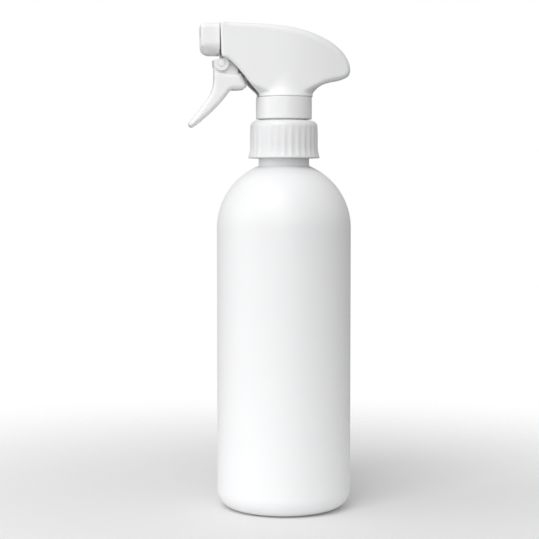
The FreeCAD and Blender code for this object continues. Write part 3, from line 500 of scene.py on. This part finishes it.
# ---------------------------------------------------------------- closure

closure_profile = traced([
    (14.0, 176.7), (14.3, 176.4, 0.3), (14.7, 176.4), (15.0, 176.7, 0.3), (15.0, 183.0),
    (15.0, 190.3), (15.3, 190.6), (15.6, 190.3), (15.6, 182.0), (16.85, 175.6, 21.0),
    (17.1, 175.22, -0.4), (17.5, 175.2), (17.82, 175.55, 0.35), (16.98, 178.4, -21.0),
    (16.75, 182.0, -21.0), (16.75, 186.0), (16.75, 190.6), (13.55, 193.8, 3.2), (12.2, 193.8),
    (11.9, 193.5, 0.3), (11.9, 192.6), (12.2, 192.3), (13.6, 192.3), (14.0, 191.9),
])


def grips(turn, radius, height):
    """Soft grips round the skirt, which fade out at its rounded shoulder and its foot."""
    wave = 0.5 + 0.5 * np.cos(GRIPS * turn)
    depth = GRIP_DEPTH * (wave**1.4 - 0.35) * (radius > 16.0)
    return depth * ramp(height, 191.2, 189.6) * ramp(height, 175.4, 177.0)


points, faces = lathe(closure_profile, [math.tau * i / 360 for i in range(360)], grips)
new_mesh(
    "closure_shell", points, faces, "closure", closure_shaded_white, ["closure_ring"],
)

# ---------------------------------------------------------------- neck thread


def thread(name, start, root, crest, turns, body, material):
    """A screw thread: a rounded ridge that winds up round Z and tapers out at both ends."""
    steps = int(90 * turns)
    section = [
        (0, -1.1), (0.62, -0.62), (0.9, -0.45), (1, -0.2), (1, 0.2), (0.9, 0.45), (0.62, 0.62),
        (0, 1.1),
    ]
    points, faces = [], []
    for i in range(steps + 1):
        turn = math.tau * turns * i / steps
        size = math.sqrt(max(min(i, steps - i, 12) / 12, 0.02))
        for out, up in section:
            r = root + (crest - root) * out * size
            z = start + THREAD_PITCH * turn / math.tau + up * (0.35 + 0.65 * size)
            points.append((r * math.cos(turn), r * math.sin(turn), z))
    n = len(section)
    for i in range(steps):
        for j in range(n):
            k = (j + 1) % n
            faces.append((i * n + j, i * n + n + j, i * n + n + k, i * n + k))
    faces.append(tuple(range(n)))
    faces.append(tuple(steps * n + j for j in reversed(range(n))))
    return new_mesh(name, points, faces, body, material)


thread("neck_thread", 180.6, NECK_R - 0.3, 13.7, 1.5, "bottle", bottle_white)

# ---------------------------------------------------------------- springs


def coil(name, radius, wire, turns, start, end, body, replaced):
    """A wound spring from start to end, its end turns closed up flat."""
    start, end = Vector(start), Vector(end)
    axis = (end - start).normalized()
    side = axis.cross(Vector((0, 1, 0))).normalized()
    other = axis.cross(side)
    length = (end - start).length - 2 * wire
    total = turns + CLOSED_TURNS
    steps, sides = int(COIL_STEPS * total), COIL_SIDES
    rows = []
    for i in range(steps + 1):
        turn = total * i / steps
        rise = np.clip((turn - 0.75) / turns, 0, 1)
        rise = wire + length * (0.92 * rise + 0.08 * ramp(turn, 0, total))
        angle = math.tau * turn
        out = side * math.cos(angle) + other * math.sin(angle)
        rows.append((start + axis * float(rise), out))
    points, faces = [], []
    for spot, out in rows:
        for k in range(sides):
            a = math.tau * k / sides
            away = out * (radius + wire * math.cos(a))
            points.append(spot + away + axis * wire * math.sin(a))
    for i in range(0, steps * sides, sides):
        for k in range(sides):
            e = (k + 1) % sides
            faces.append((i + k, i + e, i + sides + e, i + sides + k))
    faces.append(tuple(reversed(range(sides))))
    faces.append(tuple(steps * sides + k for k in range(sides)))
    return new_mesh(name, points, faces, body, steel, [replaced])


def on_pump(along):
    """A point on the piston's line, by its distance along it from the pivot."""
    u = math.cos(pad_slope) * along + math.sin(pad_slope) * PUMP_OFFSET
    v = math.sin(pad_slope) * along - math.cos(pad_slope) * PUMP_OFFSET
    return Vector((PIVOT[0] + u, 0, PIVOT[1] + v))


# The return spring stands where the CAD's does, and is 4.82 mm shorter at the end of the stroke.
spring = coil("return_coil", 3.5, 0.3, 5.0, on_pump(13.8), on_pump(22.25), "head", "return_spring")
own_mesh(spring)
low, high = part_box("outlet_spring")
far_end = Vector((low[0] / MM, 0, BARREL_Z))
near_end = Vector((high[0] / MM, 0, BARREL_Z))
spring = coil("outlet_coil", 1.25, 0.1, 7.0, far_end, near_end, "head", "outlet_spring")
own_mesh(spring)

# ---------------------------------------------------------------- other CAD nodes

# The replaced nodes are hidden, and any slot that isn't named here is in the head's white.
finishes = {
    "body_plastic": head_white,
    "natural_plastic": plastic(
        "natural_milky", (0.80, 0.80, 0.765), 0.38, soft=0.35, tint=0.97),
    "tube_plastic": clear_plastic("tube_clear"),
    "soft_seal": plastic(
        "seal_soft", (0.62, 0.625, 0.63), 0.62, grain=(5200, 0.000012), soft=0.15),
    "spring_steel": steel,
    "ball_steel": metal("ball_polished", 0.12, (1, 1, 1)),
}
for part in frame["record"]["subparts"]:
    node = frame["nodes"][part["node"]]
    node.data.materials.clear()
    node.data.materials.append(finishes.get(part["material_slot"], head_white))

# ---------------------------------------------------------------- studio

bpy.ops.mesh.primitive_circle_add(vertices=96, radius=1.2, fill_type="NGON")
floor = bpy.context.object
floor.name = "floor"
floor_pale = plastic("floor_pale", (0.84, 0.84, 0.84), 0.8)
nodes, links = floor_pale.node_tree.nodes, floor_pale.node_tree.links
place = nodes.new("ShaderNodeTexCoord")
away = nodes.new("ShaderNodeVectorMath")
away.operation = "LENGTH"
links.new(place.outputs["Object"], away.inputs[0])
fade = nodes.new("ShaderNodeMapRange")
fade.interpolation_type = "SMOOTHSTEP"
fade.inputs["From Min"].default_value = 0.06
fade.inputs["From Max"].default_value = 0.4
links.new(away.outputs["Value"], fade.inputs["Value"])
clear = nodes.new("ShaderNodeBsdfTransparent")
blend = nodes.new("ShaderNodeMixShader")
links.new(fade.outputs["Result"], blend.inputs["Fac"])
links.new(nodes["Principled BSDF"].outputs["BSDF"], blend.inputs[1])
links.new(clear.outputs["BSDF"], blend.inputs[2])
links.new(blend.outputs["Shader"], nodes["Material Output"].inputs["Surface"])
floor.data.materials.append(floor_pale)

world = bpy.data.worlds.new("studio")
scene.world = world
world.use_nodes = True
world_nodes, world_links = world.node_tree.nodes, world.node_tree.links
room = world_nodes["Background"]
room.inputs["Color"].default_value = (1, 1, 1, 1)
toward = world_nodes.new("ShaderNodeTexCoord")
parts = world_nodes.new("ShaderNodeSeparateXYZ")
world_links.new(toward.outputs["Generated"], parts.inputs["Vector"])
dome = world_nodes.new("ShaderNodeMapRange")
dome.inputs["From Min"].default_value = -0.55
dome.inputs["From Max"].default_value = 0.0
dome.inputs["To Min"].default_value = 0.0
dome.inputs["To Max"].default_value = 0.5
world_links.new(parts.outputs["Z"], dome.inputs["Value"])
world_links.new(dome.outputs["Result"], room.inputs["Strength"])
white = world_nodes.new("ShaderNodeBackground")
white.inputs["Color"].default_value = (1, 1, 1, 1)
white.inputs["Strength"].default_value = 1.0
seen = world_nodes.new("ShaderNodeLightPath")
either = world_nodes.new("ShaderNodeMixShader")
world_links.new(seen.outputs["Is Camera Ray"], either.inputs["Fac"])
world_links.new(room.outputs["Background"], either.inputs[1])
world_links.new(white.outputs["Background"], either.inputs[2])
world_links.new(either.outputs["Shader"], world_nodes["World Output"].inputs["Surface"])

AIM = Vector((0, 0, 0.13))  # the middle of the bottle
for name, power, size, spot in (
    ("left", 3.3, 0.8, (-1.15, -0.2, 0.3)),
    ("low_left", 1.1, 0.7, (-0.95, -0.95, 0.2)),
    ("front", 4.0, 0.9, (-0.1, -1.35, 0.45)),
    ("high_left", 6.6, 0.7, (-0.4, -0.75, 1.1)),
    ("overhead", 0.6, 1.0, (0, -0.1, 1.3)),
):
    light = bpy.data.lights.new(name, "AREA")
    light.size = size
    light.energy = power
    lamp = bpy.data.objects.new(name, light)
    lamp.location = spot
    lamp.rotation_euler = (AIM - lamp.location).to_track_quat("-Z", "Y").to_euler()
    scene.collection.objects.link(lamp)

camera = bpy.data.cameras.new("camera")
camera.lens = 99.5
camera.sensor_width = 36
camera_object = bpy.data.objects.new("camera", camera)
camera_object.location = (-0.0850, -0.7402, 0.1623)
camera_object.rotation_euler = (math.radians(86.72), 0, math.radians(-6))
scene.collection.objects.link(camera_object)
scene.camera = camera_object
scene.view_settings.view_transform = "Standard"
